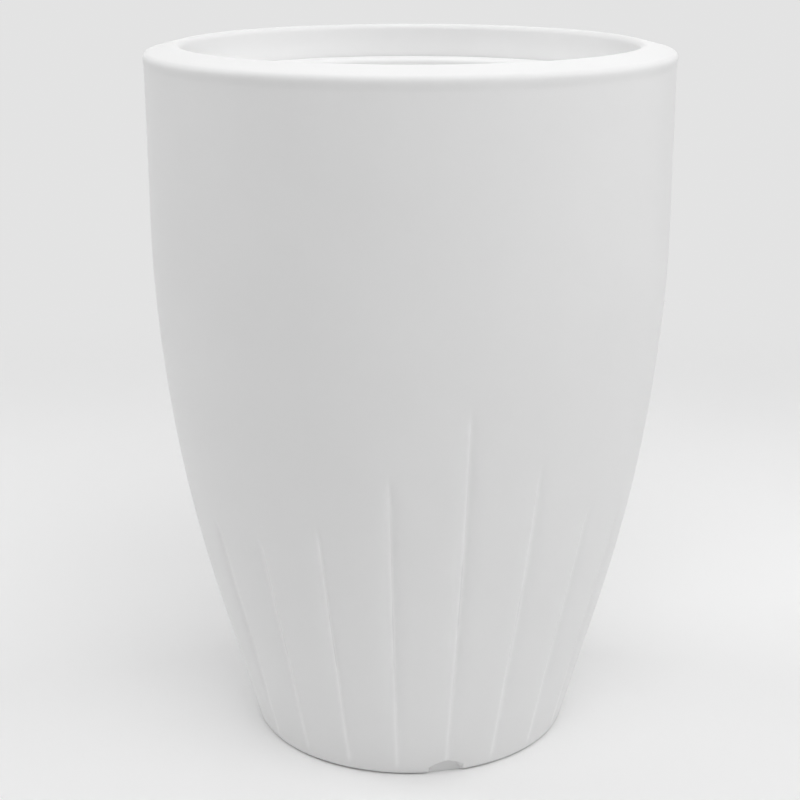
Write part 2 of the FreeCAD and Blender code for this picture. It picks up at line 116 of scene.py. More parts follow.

# Grid of the shell: how far apart its rows are, and its columns in degrees from a pleat's or notch's middle
FOOT_ROWS_START = FOOT_ROUND + 2 * MM
FOOT_ROWS_TOP = 20 * MM
FOOT_ROW = 0.8 * MM
PLEAT_ROW = 10 * MM
RUNOUT_ROW = 4 * MM
WALL_ROW = 20 * MM
LEAST_ROW = 0.6 * MM
PLEAT_COLUMNS = np.array([0, 0.15, 0.32, 0.55, 0.85, 1.25, 1.8, 2.6, 3.9, 6.0])
NOTCH_COLUMNS = np.array([1.5, 2.2, 3.0, 3.4, 4.2, 4.5, 4.8, 5.1, 5.4, 5.7, 5.85, 6.15, 6.3, 6.6, 6.9])

# Planting liner
LINER_LOW, LINER_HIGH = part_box("planting_liner")
FLANGE_RADIUS = LINER_HIGH.x
FLANGE_TOP = LINER_HIGH.z
FLANGE_RIM = 1 * MM
FLANGE_ROUND = 4 * MM
LINER_WALL = 3 * MM
LINER_FLOOR = LINER_LOW.z
LINER_FLOOR_TOP = LINER_FLOOR + LINER_WALL
LINER_RADIUS = LEDGE_RADIUS - 12 * MM
LINER_FOOT = LINER_RADIUS - 21 * MM
LINER_FOOT_ROUND = 10 * MM
LINER_HOLES = 12
LINER_HOLE_RADIUS = 3.5 * MM
LINER_HOLE_RING = LINER_FOOT - 65 * MM
LINER_HOLE_BAND = (LINER_HOLE_RING - 15 * MM, LINER_HOLE_RING + 15 * MM)
LINER_COLUMNS = 240

# Pull handles
GRIP_LOW, GRIP_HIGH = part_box("liner_handle_right")
GRIP_MIDDLE = (GRIP_LOW.x + GRIP_HIGH.x) / 2
GRIP_HALF = GRIP_HIGH.y
GRIP_ROUND = 2.4 * MM
GRIP_CORNER_LOSS = 0.9           # share of the round at the grip's ends by which its corners get smaller
LEG_MIDDLE = 34 * MM
LEG_HALF_WIDTH = 4 * MM
LEG_HALF_DEPTH = 2 * MM
LEG_EDGE = 0.4 * MM
LEG_CORNER = 0.8 * MM
BARB_HALF = LEG_HALF_WIDTH + 2 * MM
SHOULDER_HALF = LEG_HALF_WIDTH + 3 * MM
HANDLE_TRAVEL = 50 * MM
STOP_GAP = 0.5 * MM
FINGER_GAP = 10 * MM

# Slots for the handles' legs, in a band of the liner's flange, from one angle to another beside each handle
SLOT_GAP = 0.5 * MM
SLOT_BAND = (GRIP_MIDDLE - 2 * MM, GRIP_MIDDLE + 10 * MM)
SLOT_START, SLOT_END = 6, 15

# Drain plug and gasket
HEAD_THICKNESS = 5 * MM
HEAD_EDGE = 1.2 * MM
STEM_GAP = 0.4 * MM
STEM_BEVEL = 1.5 * MM
FIN_WIDTH = 40 * MM
FIN_THICKNESS = 8 * MM
FIN_ROUND = 3 * MM
FIN_FLAT = 0.2 * MM
GASKET_EDGE = 0.6 * MM
PLUG_COLUMNS = 96

# Finishes. The skin has grains to a metre, their height, waves to a metre and their height. Dust and rub
# are whole at the first height and gone at the second. A finish that gives no heights for its rub has a
# mask of its edges.
SHELL_FINISH = {
    "colour": (0.88, 0.88, 0.88), "roughness": 0.60, "skin": (620, 0.05 * MM, 14, 0.5 * MM),
    "dust": 0.10, "dusty": (0, 60 * MM), "rub": 0.25,
}
LINER_FINISH = {
    "colour": (0.92, 0.92, 0.92), "roughness": 0.60, "skin": (900, 0.03 * MM, 20, 0.2 * MM),
    "dust": 0.12, "dusty": (LINER_FLOOR, LINER_FLOOR + 40 * MM),
    "rub": 0.2, "rubbed": (FLANGE_TOP, FLANGE_TOP - 2 * MM),
}
HANDLE_FINISH = {
    "colour": (0.85, 0.85, 0.85), "roughness": 0.42, "skin": (1400, 0.02 * MM, 60, 0.05 * MM),
    "dust": 0.05, "dusty": (GRIP_LOW.z, FLANGE_TOP),
    "rub": 0.3, "rubbed": (GRIP_HIGH.z, GRIP_HIGH.z - 4 * MM),
}
PLUG_FINISH = {
    "colour": (0.34, 0.35, 0.36), "roughness": 0.55, "skin": (1500, 0.04 * MM, 60, 0.04 * MM),
    "dust": 0.3, "dusty": (FLOOR_TOP, FLOOR_TOP + 12 * MM),
    "rub": 0.3, "rubbed": (FLOOR_TOP + 26 * MM, FLOOR_TOP + 18 * MM),
}
GASKET_FINISH = {
    "colour": (0.045, 0.045, 0.047), "roughness": 0.72, "skin": (2200, 0.03 * MM, 80, 0.03 * MM),
    "dust": 0.35, "dusty": (FLOOR_TOP - 2 * MM, FLOOR_TOP + 6 * MM),
    "rub": 0, "rubbed": (FLOOR_TOP, FLOOR_TOP + 1 * MM),
}
DUST_COLOUR = (0.60, 0.585, 0.55)
DUST_ROUGHNESS = 0.3             # what whole dust adds to the roughness
# Painted highlight: the paler colour laid along the pleats' creases, standing in for the light on their
# walls
CREASE_HIGHLIGHT_COLOUR = (0.95, 0.95, 0.95)
MOTTLE_SHADE = 0.985
RUB_LIGHT = 1.04
POLISH_SPREAD = 0.04             # how far the roughness goes to each side with the mottle
PLASTIC_IOR = 1.5
PLASTIC_SPECULAR = 0.3

# Clouds of the finishes: how many there are to a metre
MOTTLE_SCALE = 9
DUST_PATCH_SCALE = 35
DUST_SPECK_SCALE = 420
RUB_STREAK_SCALE = 90
HIGHLIGHT_STREAK_SCALE = 40
PAPER_FIBRE_SCALE = 260
CLOUD_ROUGHNESS = 0.55

# Stage: a pale paper sweep that fades into the background, soft lamps and an even world
PAPER_COLOUR = (0.95, 0.95, 0.95)
PAPER_SHADE = 0.985
PAPER_ROUGHNESS = 0.95
PAPER_SPECULAR = 0.1
STAGE_FRONT = -4.0
STAGE_BACK = 2.6
STAGE_HALF = 4.0
STAGE_HEIGHT = 3.6
STAGE_DROP = 0.1 * MM
SWEEP_RADIUS = 1.2
FADE_NEAR = 0.95
FADE_FAR = 1.75
WHITE = (1, 1, 1, 1)
WORLD_STRENGTH = 0.28
BACKGROUND_STRENGTH = 0.77
LAMPS = [
    # name, place, target, size, power in watts
    ("top_softbox", (0.2, -0.2, 2.6), (0.2, -0.2, 0.3), 2.4, 13.7),
    ("front_softbox", (0.3, -1.5, 2.6), (0, 0, 0.3), 1.6, 21.7),
    ("right_softbox", (2.2, -0.9, 1.5), (0, 0, 0.35), 1.4, 7.5),
    ("left_softbox", (-2.2, -0.9, 1.5), (0, 0, 0.35), 1.4, 1.5),
    ("right_back_softbox", (2.2, 0.6, 1.9), (0, 0, 0.35), 1.4, 11.8),
    ("left_back_softbox", (-2.2, 0.6, 1.9), (0, 0, 0.35), 1.4, 18.4),
]

# Camera: the photograph's view, found from the rim, the foot and the outline
CAMERA_DISTANCE = 1.5997
CAMERA_HEIGHT = 0.8195
CAMERA_PITCH = math.radians(16.94)
CAMERA_LENS = 75.05
CAMERA_SENSOR = 36
CAMERA_SHIFT = -0.0129


def straight(start, end, steps):
    """Points on a straight line, both ends included."""
    return np.linspace(start, end, steps + 1)


def arc(centre, radius, start, end, steps):
    """Points on a circle about centre, from one angle to another, in degrees, both ends included."""
    angle = np.radians(np.linspace(start, end, steps + 1))
    return np.array(centre) + radius * np.stack([np.cos(angle), np.sin(angle)], axis=1)


def joined(*runs):
    """One outline from runs that meet end to start, with each meeting point kept once."""
    return np.vstack([run[:-1] for run in runs[:-1]] + [runs[-1]])


def revolved(outline, angles):
    """Outline of (distance from the axis, height) turned about Z: x = r cos a, y = r sin a, z = h."""
    radius, height = outline[:, :1], outline[:, 1:]
    x = radius * np.cos(angles)
    y = radius * np.sin(angles)
    return np.stack([x, y, np.broadcast_to(height, x.shape)], axis=-1)


def grid_faces(rows, columns, close_rows, close_columns):
    """Quads between neighbouring points of a grid; a closed direction joins its last line to its first."""
    index = np.arange(rows * columns).reshape(rows, columns)
    if close_rows:
        index = np.vstack([index, index[:1]])
    if close_columns:
        index = np.hstack([index, index[:, :1]])
    return np.stack([index[:-1, :-1], index[:-1, 1:], index[1:, 1:], index[1:, :-1]], axis=-1)


def merged(parts):
    """Points and faces of several (points, faces) pairs as one pair."""
    starts = np.cumsum([0] + [len(points) for points, _ in parts[:-1]])
    points = np.vstack([points for points, _ in parts])
    faces = np.vstack([faces + start for (_, faces), start in zip(parts, starts)])
    return points, faces


def surface(grid, close_rows=False, close_columns=True):
    """Grid of points as a list of points and its quads."""
    rows, columns = grid.shape[:2]
    faces = grid_faces(rows, columns, close_rows, close_columns)
    return grid.reshape(-1, 3), faces.reshape(-1, 4)


def smooth_step(value, low, high):
    """0 below the low value, 1 above the high one, and 3t^2 - 2t^3 between them."""
    share = np.clip((value - low) / (high - low), 0, 1)
    return share ** 2 * (3 - 2 * share)


def add_object(name, data):
    """Object in the scene, at the origin."""
    added = bpy.data.objects.new(name, data)
    bpy.context.scene.collection.objects.link(added)
    return added


def weld(mesh):
    """Joins the seams and poles of a mesh and turns its faces outwards."""
    work = bmesh.new()
    work.from_mesh(mesh)
    bmesh.ops.remove_doubles(work, verts=work.verts, dist=WELD_DISTANCE)
    bmesh.ops.recalc_face_normals(work, faces=work.faces)
    work.to_mesh(mesh)
    work.free()


def make_piece(name, points, faces, material, body, node, slot, masks=None, seams=True):
    """Piece that stands for a node: its mesh, smooth between sharp edges, its masks and its material."""
    mesh = bpy.data.meshes.new(name)
    mesh.from_pydata(points.tolist(), [], faces.tolist())
    for label, values in (masks or {}).items():
        mesh.attributes.new(label, "FLOAT", "POINT").data.foreach_set("value", values.ravel())
    if seams:
        weld(mesh)
    mesh.polygons.foreach_set("use_smooth", np.ones(len(mesh.polygons), bool))
    mesh.set_sharp_from_angle(angle=SHARP_ANGLE)
    mesh.materials.append(material)
    piece = add_object(name, mesh)
    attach(piece, body)
    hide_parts(node)


def flank_radius(height):
    """Outside of the flank: a straight cone, then a circle that ends upright at the shoulder. Below the
    lip's edge the upright wall stands back a little, and this fades out below the shoulder."""
    cone = FOOT_RADIUS + height * math.tan(CONE_ANGLE)
    drop = np.clip(SHOULDER - height, 0, None)
    bend = BEND_CENTRE + np.sqrt(FLANK_BEND ** 2 - drop ** 2)
    neck = smooth_step(height, NECK_START, NECK_FULL)
    neck *= smooth_step(LIP_EDGE - height, 0, NECK_TURN)
    return np.where(height < CONE_HEIGHT, cone, bend - NECK_DEPTH * neck)


def flank_rows():
    """Heights of the rows on the flank, close together at the notches, where the pleats run out and below
    the lip's edge."""
    neck_end = LIP_EDGE - NECK_TURN
    heights = [
        np.arange(FOOT_ROWS_START, FOOT_ROWS_TOP, FOOT_ROW),
        np.arange(FOOT_ROWS_TOP, PLEAT_TOPS[0], PLEAT_ROW),
        np.arange(PLEAT_TOPS[0], neck_end, WALL_ROW),
        np.linspace(neck_end, LIP_EDGE, 7),
    ]
    for top in PLEAT_TOPS:
        heights.append(np.arange(top - PLEAT_RUNOUT, top + RUNOUT_ROW, RUNOUT_ROW))
    heights = np.unique(np.round(np.concatenate(heights), 6))
    keep = np.append(np.diff(heights) > LEAST_ROW, True)
    return heights[keep]


def shell_columns():
    """Angles of the shell's columns: close together across each pleat and across each notch."""
    across = np.radians(np.concatenate([-PLEAT_COLUMNS[:0:-1], PLEAT_COLUMNS]))
    beside = np.radians(np.concatenate([-NOTCH_COLUMNS, NOTCH_COLUMNS]))
    middles = FIRST_PLEAT + PLEAT_SPACING * np.arange(PLEATS)
    notches = FIRST_PLEAT + 2 * math.pi / ARCHES * np.arange(ARCHES)
    angles = np.concatenate([
        (middles[:, None] + across).ravel(),
        middles + PLEAT_SPACING / 2,
        (notches[:, None] + beside).ravel(),
    ])
    return np.sort(angles)


def shell_outline():
    """Outline of the shell's wall, from the drain hole out under the floor, up the flank, over the lip,
    down the well to the ledge and back down the inside. Also gives the rows of the flank."""
    lean = math.degrees(CONE_ANGLE)
    foot_turn = flank_radius(FOOT_ROUND) - FOOT_ROUND / math.cos(CONE_ANGLE)
    rounded_foot = arc((foot_turn, FOOT_ROUND), FOOT_ROUND, -90, -lean, 10)
    heights = np.append(rounded_foot[-1, 1], flank_rows())
    flank = np.stack([flank_radius(heights), heights], axis=1)
    # Lip: a slope between a round outer edge and a round crown
    slope = math.degrees(LIP_SLOPE)
    crown = (WELL_RADIUS + CROWN_ROUND, HEIGHT - CROWN_ROUND)
    crown_arc = arc(crown, CROWN_ROUND, 90 - slope, 180, 9)
    edge_arc = arc((TOP_RADIUS - LIP_ROUND, LIP_EDGE), LIP_ROUND, 0, 90 - slope, 8)
    # Well and ledge
    corner = (WELL_RADIUS - LEDGE_ROUND, LEDGE_HEIGHT + LEDGE_ROUND)
    corner_arc = arc(corner, LEDGE_ROUND, 0, -90, 4)
    brink = (LEDGE_RADIUS + LEDGE_ROUND, LEDGE_HEIGHT - LEDGE_ROUND)
    brink_arc = arc(brink, LEDGE_ROUND, 90, 180, 4)
    # Underside of the ledge and the lip, a wall below their tops
    fall = math.tan(LIP_SLOPE)
    under_lip = LIP_BRINK - WALL / math.cos(LIP_SLOPE)
    well_outside = WELL_RADIUS + WALL
    ledge_inner = (LEDGE_RADIUS, LEDGE_HEIGHT - WALL)
    ledge_outer = (well_outside, LEDGE_HEIGHT - WALL)
    lip_inner = (well_outside, under_lip + (TOP_RADIUS - well_outside) * fall)
    lip_outer = (TOP_RADIUS - WALL, under_lip + WALL * fall)
    # Inside of the flank, parallel to its outside
    inside = arc((BEND_CENTRE, SHOULDER), FLANK_BEND - WALL, 0, -lean, 8)
    floor_edge = inside[-1, 0] - (inside[-1, 1] - FLOOR_TOP) * math.tan(CONE_ANGLE)
    under_floor = joined(
        straight((DRAIN_RADIUS, FLOOR_LOW), (FOOT_INNER, FLOOR_LOW), 3),
        straight((FOOT_INNER, FLOOR_LOW), (FOOT_INNER, 0), 2),
        straight((FOOT_INNER, 0), (foot_turn, 0), 3),
    )
    outside = joined(rounded_foot, flank)
    rest = joined(
        edge_arc,
        straight(edge_arc[-1], crown_arc[0], 5),
        crown_arc,
        straight(crown_arc[-1], corner_arc[0], 5),
        corner_arc,
        straight(corner_arc[-1], brink_arc[0], 3),
        brink_arc,
        straight(brink_arc[-1], ledge_inner, 1),
        straight(ledge_inner, ledge_outer, 2),
        straight(ledge_outer, lip_inner, 2),
        straight(lip_inner, lip_outer, 2),
        straight(lip_outer, inside[0], 3),
        inside,
        straight(inside[-1], (floor_edge, FLOOR_TOP), 3),
        straight((floor_edge, FLOOR_TOP), (DRAIN_RADIUS, FLOOR_TOP), 4),
    )
    flank_part = slice(len(under_floor) - 1, len(under_floor) + len(outside) - 2)
    return joined(under_floor, outside, rest), flank_part


def pleat_valley(height, radius, angles):
    """Depth of the pleats, measured level: slope * w * exp(-(sqrt(x^2 + c^2) - c) / w) at a distance x
    across a pleat, a crease c between two panels that swell. Its reach w is widest half-way up, and the
    depth fades out at the pleat's top and towards the foot. Also gives the share of the painted highlight
    along the crease, exp(-(x / h)^2) with h its reach, with the same ends."""
    number = np.round((angles - FIRST_PLEAT) / PLEAT_SPACING)
    from_middle = angles - FIRST_PLEAT - number * PLEAT_SPACING
    step = np.abs((number + ARCH_STEPS) % (2 * ARCH_STEPS + 1) - ARCH_STEPS).astype(int)
    top = PLEAT_TOPS[step]
    across = radius * np.sin(from_middle)
    bulge = np.sin(math.pi * np.clip(height / top, 0, 1))
    reach = PLEAT_REACH_END + (PLEAT_REACH_MIDDLE - PLEAT_REACH_END) * bulge
    away = np.hypot(across, PLEAT_CREASE) - PLEAT_CREASE
    fade = smooth_step(top - height, 0, PLEAT_RUNOUT)
    fade *= smooth_step(height, PLEAT_START, PLEAT_START + PLEAT_START_TURN)
    # Share of the painted highlight along the crease
    line = fade * np.exp(-(across / PLEAT_HIGHLIGHT_REACH) ** 2)
    fade *= PLEAT_FAINT + (1 - PLEAT_FAINT) * smooth_step(height, PLEAT_START, PLEAT_FULL)
    return PLEAT_SLOPE * fade * reach * np.exp(-away / reach), line


def notch_recess(height, radius, angles):
    """Depth of the notches in the foot: flank back to an upright plane, inside an arch of a circle on two
    upright sides, with a soft turn at the arch's edge. Also gives the share of the notch, 0 outside it."""
    apart = 2 * math.pi / ARCHES
    from_middle = (angles - FIRST_PLEAT + apart / 2) % apart - apart / 2
    across = radius * np.sin(from_middle)
    under_arch = NOTCH_RADIUS - np.hypot(across, height - NOTCH_HEIGHT + NOTCH_RADIUS)
    inside = np.minimum(under_arch, NOTCH_HALF - np.abs(across))
    share = smooth_step(inside, -NOTCH_EDGE / 2, NOTCH_EDGE / 2)
    back = (FOOT_RADIUS - NOTCH_DEPTH) / np.cos(from_middle)
    return np.clip(radius - back, 0, None) * share, share


def shell_surface():
    """Shell: its outline revolved, with the flank drawn in by the pleats and the notches,
    radius = flank - depth. Also gives the mask of the painted highlight along its creases, and of its
    edges."""
    outline, flank_part = shell_outline()
    angles = shell_columns()
    radius = np.repeat(outline[:, :1], len(angles), axis=1)
    height = np.repeat(outline[:, 1:], len(angles), axis=1)
    recess, share = notch_recess(height[flank_part], radius[flank_part], angles)
    depth, line = pleat_valley(height[flank_part], radius[flank_part], angles)
    radius[flank_part] -= depth * (1 - share) + recess
    creases = np.zeros_like(radius)
    # Mask of the painted highlight along the creases, left off the notches
    creases[flank_part] = line * (1 - share)
    edges = np.zeros_like(radius)
    worn = ((TOP_RADIUS, WORN_LIP), (WELL_RADIUS + CROWN_ROUND, HEIGHT), (FOOT_RADIUS, 0))
    for worn_radius, worn_height in worn:
        away = np.hypot(radius - worn_radius, height - worn_height)
        edges += np.exp(-(away / WORN_REACH) ** 2)
    grid = np.stack([radius * np.cos(angles), radius * np.sin(angles), height], axis=-1)
    return grid, {"crease": creases, "edge": np.clip(edges, 0, 1)}


def level(points, height):
    """Points (x, y) at one height."""
    return np.column_stack([points, np.full(len(points), height)])


def holed_patch(outer, hole, height):
    """Flat patch at one height, between an outline and the outline of a hole in it, point for point."""
    return surface(np.stack([level(outer, height), level(hole, height)]))


def hole_wall(outline, low, high):
    """Wall of a hole between two heights."""
    return surface(np.stack([level(outline, low), level(outline, high)]))


def sector(low, high, start, end, steps):
    """Outline of a part of a ring, between two radii and two angles, with steps along its arcs."""
    inner = arc((0, 0), low, start, end, steps)
    outer = arc((0, 0), high, end, start, steps)
    return np.vstack([inner, outer])


def liner_outline():
    """Outline of the liner's wall, from the ring of drain holes out under its floor, up its outside, round
    the flange and down its inside. Also gives the rows between which the flange has its slots."""
    hole_end = LINER_HOLE_BAND[1]
    slot_near, slot_far = SLOT_BAND
    inner_round = LINER_FOOT_ROUND - LINER_WALL
    lean = math.degrees(math.atan2(LINER_RADIUS - LINER_FOOT, LEDGE_HEIGHT - LINER_FLOOR))
    turn = math.tan(math.radians(90 - lean) / 2)
    foot = (LINER_FOOT - LINER_FOOT_ROUND * turn, LINER_FLOOR + LINER_FOOT_ROUND)
    foot_arc = arc(foot, LINER_FOOT_ROUND, -90, -lean, 6)
    rim = FLANGE_RADIUS - FLANGE_RIM
    rim_low = arc((rim, LEDGE_HEIGHT + FLANGE_RIM), FLANGE_RIM, -90, 0, 3)
    rim_high = arc((rim, FLANGE_TOP - FLANGE_RIM), FLANGE_RIM, 0, 90, 3)
    mouth = (LINER_RADIUS - LINER_WALL + FLANGE_ROUND * turn, FLANGE_TOP - FLANGE_ROUND)
    mouth_arc = arc(mouth, FLANGE_ROUND, 90, 180 - lean, 6)
    basin = (LINER_FOOT - LINER_WALL - inner_round * turn, LINER_FLOOR_TOP + inner_round)
    basin_arc = arc(basin, inner_round, -lean, -90, 5)
    below = joined(
        straight((hole_end, LINER_FLOOR), foot_arc[0], 2),
        foot_arc,
        straight(foot_arc[-1], (LINER_RADIUS, LEDGE_HEIGHT), 12),
        straight((LINER_RADIUS, LEDGE_HEIGHT), (slot_near, LEDGE_HEIGHT), 1),
    )
    flange = joined(
        straight((slot_far, LEDGE_HEIGHT), rim_low[0], 2),
        rim_low,
        straight(rim_low[-1], rim_high[0], 1),
        rim_high,
        straight(rim_high[-1], (slot_far, FLANGE_TOP), 2),
    )
    above = joined(
        straight((slot_near, FLANGE_TOP), mouth_arc[0], 1),
        mouth_arc,
        straight(mouth_arc[-1], basin_arc[0], 12),
        basin_arc,
        straight(basin_arc[-1], (hole_end, LINER_FLOOR_TOP), 2),
    )
    slot_rows = (len(below) - 1, len(below) + len(flange) - 1)
    return np.vstack([below, flange, above]), slot_rows


def slotted_flange(columns):
    """Flat patches of the flange round the four slots, on both its faces, and the slots' walls."""
    half_depth = LEG_HALF_DEPTH + SLOT_GAP
    half_width = LEG_HALF_WIDTH + SLOT_GAP
    near, far = LEG_MIDDLE - half_width, LEG_MIDDLE + half_width
    inner, outer = GRIP_MIDDLE - half_depth, GRIP_MIDDLE + half_depth
    slot = np.vstack([
        straight((inner, near), (inner, far), columns),
        straight((outer, far), (outer, near), columns),
    ])
    around = sector(*SLOT_BAND, SLOT_START, SLOT_END, columns)
    parts = []
    for flip in ((1, 1), (1, -1), (-1, 1), (-1, -1)):
        for height in (LEDGE_HEIGHT, FLANGE_TOP):
            parts.append(holed_patch(around * flip, slot * flip, height))
        parts.append(hole_wall(slot * flip, LEDGE_HEIGHT, FLANGE_TOP))
    return parts


def holed_floor(step):
    """Flat patches of the liner's floor round the drain holes, on both its faces, and the holes' walls."""
    wide = 360 / LINER_HOLES
    parts = []
    for number in range(LINER_HOLES):
        middle = number * wide
        turn = math.radians(middle)
        centre = LINER_HOLE_RING * np.array([math.cos(turn), math.sin(turn)])
        around = sector(*LINER_HOLE_BAND, middle - wide / 2, middle + wide / 2, round(wide / step))
        away = around - centre
        hole = centre + LINER_HOLE_RADIUS * away / np.linalg.norm(away, axis=1, keepdims=True)
        for height in (LINER_FLOOR, LINER_FLOOR_TOP):
            parts.append(holed_patch(around, hole, height))
        parts.append(hole_wall(hole, LINER_FLOOR, LINER_FLOOR_TOP))
    return parts


def liner_surface():
    """Liner: its outline revolved, open at the slots, then the patches round the slots and the drain holes,
    and a disc in the middle of the floor."""
    outline, slot_rows = liner_outline()
    angles = 2 * math.pi / LINER_COLUMNS * np.arange(LINER_COLUMNS)
    step = 360 / LINER_COLUMNS
    faces = grid_faces(len(outline), LINER_COLUMNS, False, True)
    slot_columns = round((SLOT_END - SLOT_START) / step)
    shown = np.ones(faces.shape[:2], bool)
    for row in slot_rows:
        for first in (SLOT_START, -SLOT_END, 180 + SLOT_START, 180 - SLOT_END):
            shown[row, (round(first / step) + np.arange(slot_columns)) % LINER_COLUMNS] = False
    parts = [(revolved(outline, angles).reshape(-1, 3), faces[shown])]
    parts += slotted_flange(slot_columns)
    parts += holed_floor(step)
    # The disc's columns start where a patch of the floor does
    shifted = angles + math.pi / LINER_HOLES
    for height in (LINER_FLOOR, LINER_FLOOR_TOP):
        parts.append(surface(revolved(straight((LINER_HOLE_BAND[0], height), (0, height), 4), shifted)))
    return merged(parts)


def rounded_section(half_width, half_depth, corner, steps=6):
    """Outline of a rounded rectangle: quarter circles at its four corners, counter-clockwise. The sizes may
    be columns of values, for one outline a row."""
    turn = np.linspace(0, math.pi / 2, steps)
    angle = np.concatenate([turn + quarter * math.pi / 2 for quarter in range(4)])
    side_x = np.repeat([1, -1, -1, 1], steps)
    side_y = np.repeat([1, 1, -1, -1], steps)
    x = side_x * (half_width - corner) + corner * np.cos(angle)
    y = side_y * (half_depth - corner) + corner * np.sin(angle)
    return x, y


def lofted(stations):
    """Bar from stations (place along it, half width, half depth, corner) to (width, depth, along) points,
    with a point on its middle line at each end, which closes it."""
    closed = [(stations[0][0], 0, 0, 0), *stations, (stations[-1][0], 0, 0, 0)]
    along, half_width, half_depth, corner = np.array(closed).T[:, :, None]
    width, depth = rounded_section(half_width, half_depth, corner)
    return np.stack([width, depth, np.broadcast_to(along, width.shape)], axis=-1)


def handle_surface(side):
    """Pull handle: a grip with rounded ends, carried along Y, on two legs, carried along Z, each with a
    barb at its foot and a shoulder that rests on the flange."""
    barb_top = LEDGE_HEIGHT - HANDLE_TRAVEL - STOP_GAP
    grip_low = FLANGE_TOP + FINGER_GAP
    edge, flare = LEG_EDGE, 3 * LEG_EDGE
    leg = lofted([(along, half_width, half_depth, LEG_CORNER) for along, half_width, half_depth in (
        (GRIP_LOW.z, LEG_HALF_WIDTH, LEG_HALF_DEPTH - edge),
        (GRIP_LOW.z + edge, LEG_HALF_WIDTH + edge / 4, LEG_HALF_DEPTH),
        (barb_top - edge, BARB_HALF, LEG_HALF_DEPTH),
        (barb_top, BARB_HALF - edge, LEG_HALF_DEPTH),
        (barb_top, LEG_HALF_WIDTH, LEG_HALF_DEPTH),
        (FLANGE_TOP, LEG_HALF_WIDTH, LEG_HALF_DEPTH),
        (FLANGE_TOP, SHOULDER_HALF - edge, LEG_HALF_DEPTH),
        (FLANGE_TOP + edge, SHOULDER_HALF, LEG_HALF_DEPTH),
        (grip_low - flare, SHOULDER_HALF, LEG_HALF_DEPTH),
        (grip_low, SHOULDER_HALF, LEG_HALF_DEPTH + flare),
        (grip_low + flare, SHOULDER_HALF, LEG_HALF_DEPTH + flare),
    )])
    half_depth = (GRIP_HIGH.x - GRIP_LOW.x) / 2
    half_height = (GRIP_HIGH.z - grip_low) / 2
    ends = []
    for turn in np.radians(np.linspace(90, 0, 7)):
        inset = GRIP_ROUND * (1 - math.sin(turn))
        reach = GRIP_HALF - GRIP_ROUND * (1 - math.cos(turn))
        corner = GRIP_ROUND - GRIP_CORNER_LOSS * inset
        ends.append((reach, half_depth - inset, half_height - inset, corner))
    grip = lofted([(-reach, *section) for reach, *section in reversed(ends)] + ends)
    middle = side * GRIP_MIDDLE
    parts = [surface(grip[..., [0, 2, 1]] + (middle, 0, grip_low + half_height))]
    for leg_middle in (-LEG_MIDDLE, LEG_MIDDLE):
        parts.append(surface(leg[..., [1, 0, 2]] + (middle, leg_middle, 0)))
    return merged(parts)


def plug_surface():
    """Drain plug: a stem and a head revolved about Z, and a fin with round ends carried up Z."""
    low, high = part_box("drain_plug")
    head_radius = high.x
    head_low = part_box("plug_gasket")[1].z
    head_high = head_low + HEAD_THICKNESS
    head_turn = head_radius - HEAD_EDGE
    stem_radius = DRAIN_RADIUS - STEM_GAP
    stem_turn = stem_radius - STEM_BEVEL
    body = joined(
        straight((0, low.z), (stem_turn, low.z), 3),
        straight((stem_turn, low.z), (stem_radius, low.z + STEM_BEVEL), 1),
        straight((stem_radius, low.z + STEM_BEVEL), (stem_radius, head_low), 2),
        straight((stem_radius, head_low), (head_radius - HEAD_EDGE / 2, head_low), 2),
        arc((head_turn, head_low + HEAD_EDGE), HEAD_EDGE, -60, 0, 3),
        straight((head_radius, head_low + HEAD_EDGE), (head_radius, head_high - HEAD_EDGE), 1),
        arc((head_turn, head_high - HEAD_EDGE), HEAD_EDGE, 0, 90, 5),
        straight((head_turn, head_high), (0, head_high), 5),
    )
    angles = np.linspace(0, 2 * math.pi, PLUG_COLUMNS, endpoint=False)
    half_width, half_depth = FIN_WIDTH / 2, FIN_THICKNESS / 2
    corner = half_depth - FIN_FLAT
    fin = [(head_high - HEAD_EDGE, half_width, half_depth, corner)]
    for turn in np.radians(np.linspace(0, 90, 7)):
        inset = FIN_ROUND * (1 - math.cos(turn))
        reach = high.z - FIN_ROUND * (1 - math.sin(turn))
        fin.append((reach, half_width - inset, half_depth - inset, corner - inset))
    return merged([surface(revolved(body, angles)), surface(lofted(fin))])


def gasket_surface():
    """Gasket: a flat ring with rounded corners, revolved about Z."""
    low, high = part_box("plug_gasket")
    edge = GASKET_EDGE
    inner, outer = DRAIN_RADIUS + edge, high.x - edge
    outline = np.vstack([
        arc((outer, low.z + edge), edge, -90, 0, 4),
        arc((outer, high.z - edge), edge, 0, 90, 4),
        arc((inner, high.z - edge), edge, 90, 180, 4),
        arc((inner, low.z + edge), edge, 180, 270, 4),
    ])
    angles = np.linspace(0, 2 * math.pi, PLUG_COLUMNS, endpoint=False)
    return surface(revolved(outline, angles), close_rows=True)


def add_node(tree, kind, inputs=None, **settings):
    """Node with its settings; an input is a value of its own, or a socket that it is linked to."""
    node = tree.nodes.new(kind)
    for name, value in settings.items():
        setattr(node, name, value)
    for name, value in (inputs or {}).items():
        if isinstance(value, bpy.types.NodeSocket):
            tree.links.new(value, node.inputs[name])
        else:
            node.inputs[name].default_value = value
    return node


def maths(tree, operation, first, second):
    """Result of two values or sockets."""
    return add_node(tree, "ShaderNodeMath", {0: first, 1: second}, operation=operation).outputs[0]


def remapped(tree, value, low, high, new_low=0, new_high=1, curve="LINEAR"):
    """Value carried from one range to another, and held to it."""
    limits = {"Value": value, "From Min": low, "From Max": high, "To Min": new_low, "To Max": new_high}
    return add_node(tree, "ShaderNodeMapRange", limits, interpolation_type=curve).outputs["Result"]


